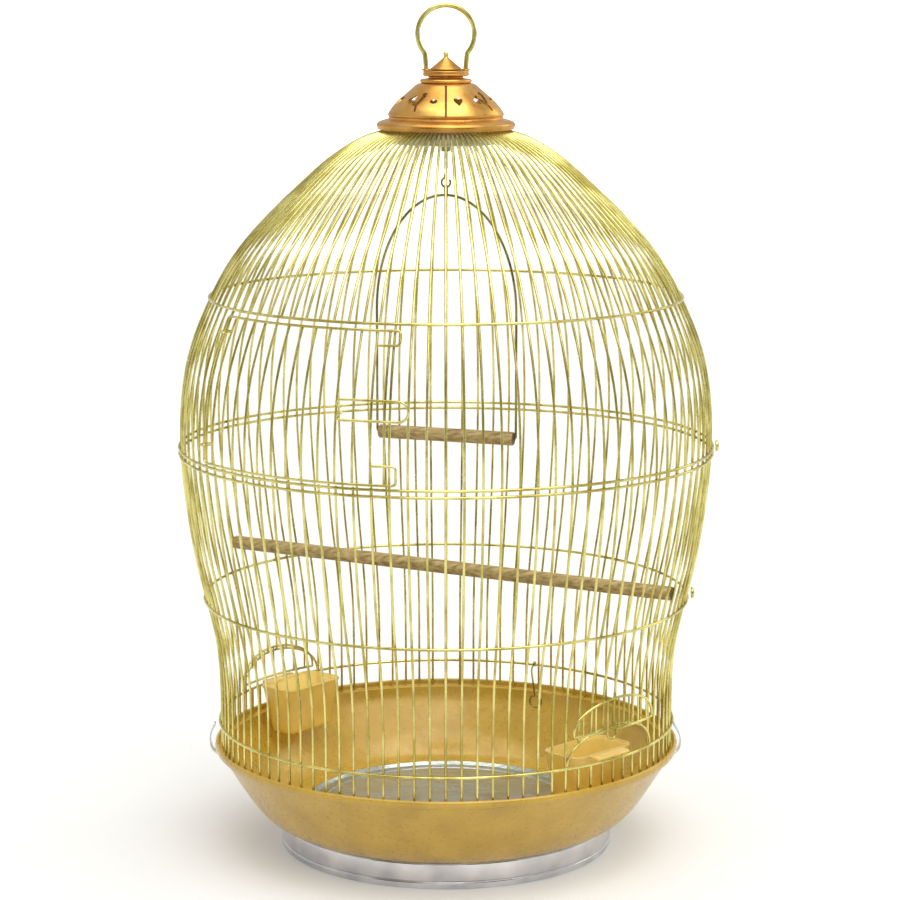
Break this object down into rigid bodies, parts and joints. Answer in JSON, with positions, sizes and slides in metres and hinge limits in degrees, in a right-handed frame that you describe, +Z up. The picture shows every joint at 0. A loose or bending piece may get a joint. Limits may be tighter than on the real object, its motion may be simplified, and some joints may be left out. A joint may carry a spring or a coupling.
{
  "type": "bird cage",
  "caption": "Round domed wire bird cage with a pierced cap, hanging ring, swing, perch, main door and feeder doors, on a low plastic tray with a foot ring.",
  "frame": {"origin": "centre of the foot ring on the surface that the cage stands on", "axes": "+Z up, -Y towards the front, with the main door at the front left (-X)"},
  "size_m": [0.3974, 0.3944, 0.6196],
  "materials": {
    "brass_wire": "bright brass-plated wire",
    "crown_metal": "copper-gold lacquered, glossy",
    "plate_metal": "satin",
    "perch_wood": "turned, unvarnished",
    "tray_plastic": "metallic gold, glossy",
    "cup_plastic": "translucent gold, glossy",
    "foot_plastic": "silver-grey, glossy",
    "clip_plastic": "pale, glossy",
    "pan_metal": "bright, lightly scratched"
  },
  "bodies": {
    "base": {"tray_bowl": "tray_plastic", "foot_ring": "foot_plastic"},
    "floor_pan": {"floor_pan": "pan_metal"},
    "rim_clip_left": {"rim_clip_left": "clip_plastic"},
    "rim_clip_right": {"rim_clip_right": "clip_plastic"},
    "cage": {"skirt_wires_1": "brass_wire", "skirt_wires_2": "brass_wire", "skirt_wires_3": "brass_wire", "skirt_wires_4": "brass_wire", "skirt_wires_5": "brass_wire", "skirt_wires_6": "brass_wire", "skirt_wires_7": "brass_wire", "skirt_wires_8": "brass_wire", "waist_wires_2": "brass_wire", "waist_wires_3": "brass_wire", "waist_wires_4": "brass_wire", "waist_wires_5": "brass_wire", "waist_wires_6": "brass_wire", "waist_wires_7": "brass_wire", "waist_wires_8": "brass_wire", "dome_wires_1": "brass_wire", "dome_wires_2": "brass_wire", "dome_wires_3": "brass_wire", "dome_wires_4": "brass_wire", "dome_wires_5": "brass_wire", "dome_wires_6": "brass_wire", "dome_wires_7": "brass_wire", "dome_wires_8": "brass_wire", "hoop_shoulder": "brass_wire", "hoop_middle_upper": "brass_wire", "hoop_middle_lower": "brass_wire", "hoop_waist": "brass_wire", "hoop_base": "brass_wire", "hoop_clip_middle": "brass_wire", "hoop_clip_waist": "brass_wire", "feeder_stubs_left": "brass_wire", "feeder_stubs_right": "brass_wire", "top_plate": "plate_metal", "crown": "crown_metal", "collar_lower": "crown_metal", "long_perch": "perch_wood", "swing_hanger": "brass_wire", "hanger_nut": "plate_metal", "back_eye": "brass_wire"},
    "main_door": {"door_frame": "brass_wire", "door_wires": "brass_wire", "door_hinge_ring_lower": "brass_wire", "door_hinge_ring_upper": "brass_wire"},
    "door_latch": {"door_latch": "brass_wire"},
    "feeder_door_left": {"feeder_door_left": "brass_wire"},
    "feeder_door_right": {"feeder_door_right": "brass_wire"},
    "feeder_cup_left": {"feeder_cup_left": "cup_plastic"},
    "feeder_cup_right": {"feeder_cup_right": "cup_plastic"},
    "hanger": {"collar_upper": "crown_metal", "finial": "crown_metal", "hanging_ring": "brass_wire"},
    "swing_link": {"swing_link": "brass_wire"},
    "swing": {"swing_wire": "brass_wire", "swing_bar": "perch_wood"}
  },
  "joints": [
    {"name": "cage_lift", "type": "slide", "parent": "base", "child": "cage", "axis": [0, 0, 1], "range_m": [0, 0.06]},
    {"name": "floor_pan_lift", "type": "slide", "parent": "base", "child": "floor_pan", "axis": [0, 0, 1], "range_m": [0, 0.06]},
    {"name": "rim_clip_left_turn", "type": "hinge", "parent": "base", "child": "rim_clip_left", "pos_m": [-0.1696, 0, 0.0658], "axis": [0, -1, 0], "range_deg": [-7, 63]},
    {"name": "rim_clip_right_turn", "type": "hinge", "parent": "base", "child": "rim_clip_right", "pos_m": [0.1696, 0, 0.0658], "axis": [0, 1, 0], "range_deg": [0, 70]},
    {"name": "door_hinge", "type": "hinge", "parent": "cage", "child": "main_door", "pos_m": [-0.16617, -0.09594, 0.316], "axis": [-0.1744, -0.1007, -0.9795], "range_deg": [0, 105]},
    {"name": "door_latch_slide", "type": "slide", "parent": "main_door", "child": "door_latch", "axis": [-0.9682, 0.2501, 0], "range_m": [0, 0.016]},
    {"name": "feeder_door_left_slide", "type": "slide", "parent": "cage", "child": "feeder_door_left", "axis": [-0.0633, 0.0485, 0.9968], "range_m": [0, 0.022]},
    {"name": "feeder_door_right_slide", "type": "slide", "parent": "cage", "child": "feeder_door_right", "axis": [0.0564, -0.0564, 0.9968], "range_m": [-0.019, 0.003]},
    {"name": "feeder_cup_left_lift", "type": "slide", "parent": "cage", "child": "feeder_cup_left", "axis": [0, 0, 1], "range_m": [0, 0.015]},
    {"name": "feeder_cup_right_lift", "type": "slide", "parent": "cage", "child": "feeder_cup_right", "axis": [0, 0, 1], "range_m": [0, 0.015]},
    {"name": "hanger_swivel", "type": "hinge", "parent": "cage", "child": "hanger", "pos_m": [0, 0, 0.5675], "axis": [0, 0, 1], "continuous": true},
    {"name": "link_sway", "type": "hinge", "parent": "cage", "child": "swing_link", "pos_m": [0, 0, 0.4894], "axis": [0.342, 0.9397, 0], "range_deg": [-15, 15]},
    {"name": "swing_rock", "type": "hinge", "parent": "swing_link", "child": "swing", "pos_m": [0, 0, 0.4822], "axis": [0.9397, -0.342, 0], "range_deg": [-25, 25]}
  ]
}
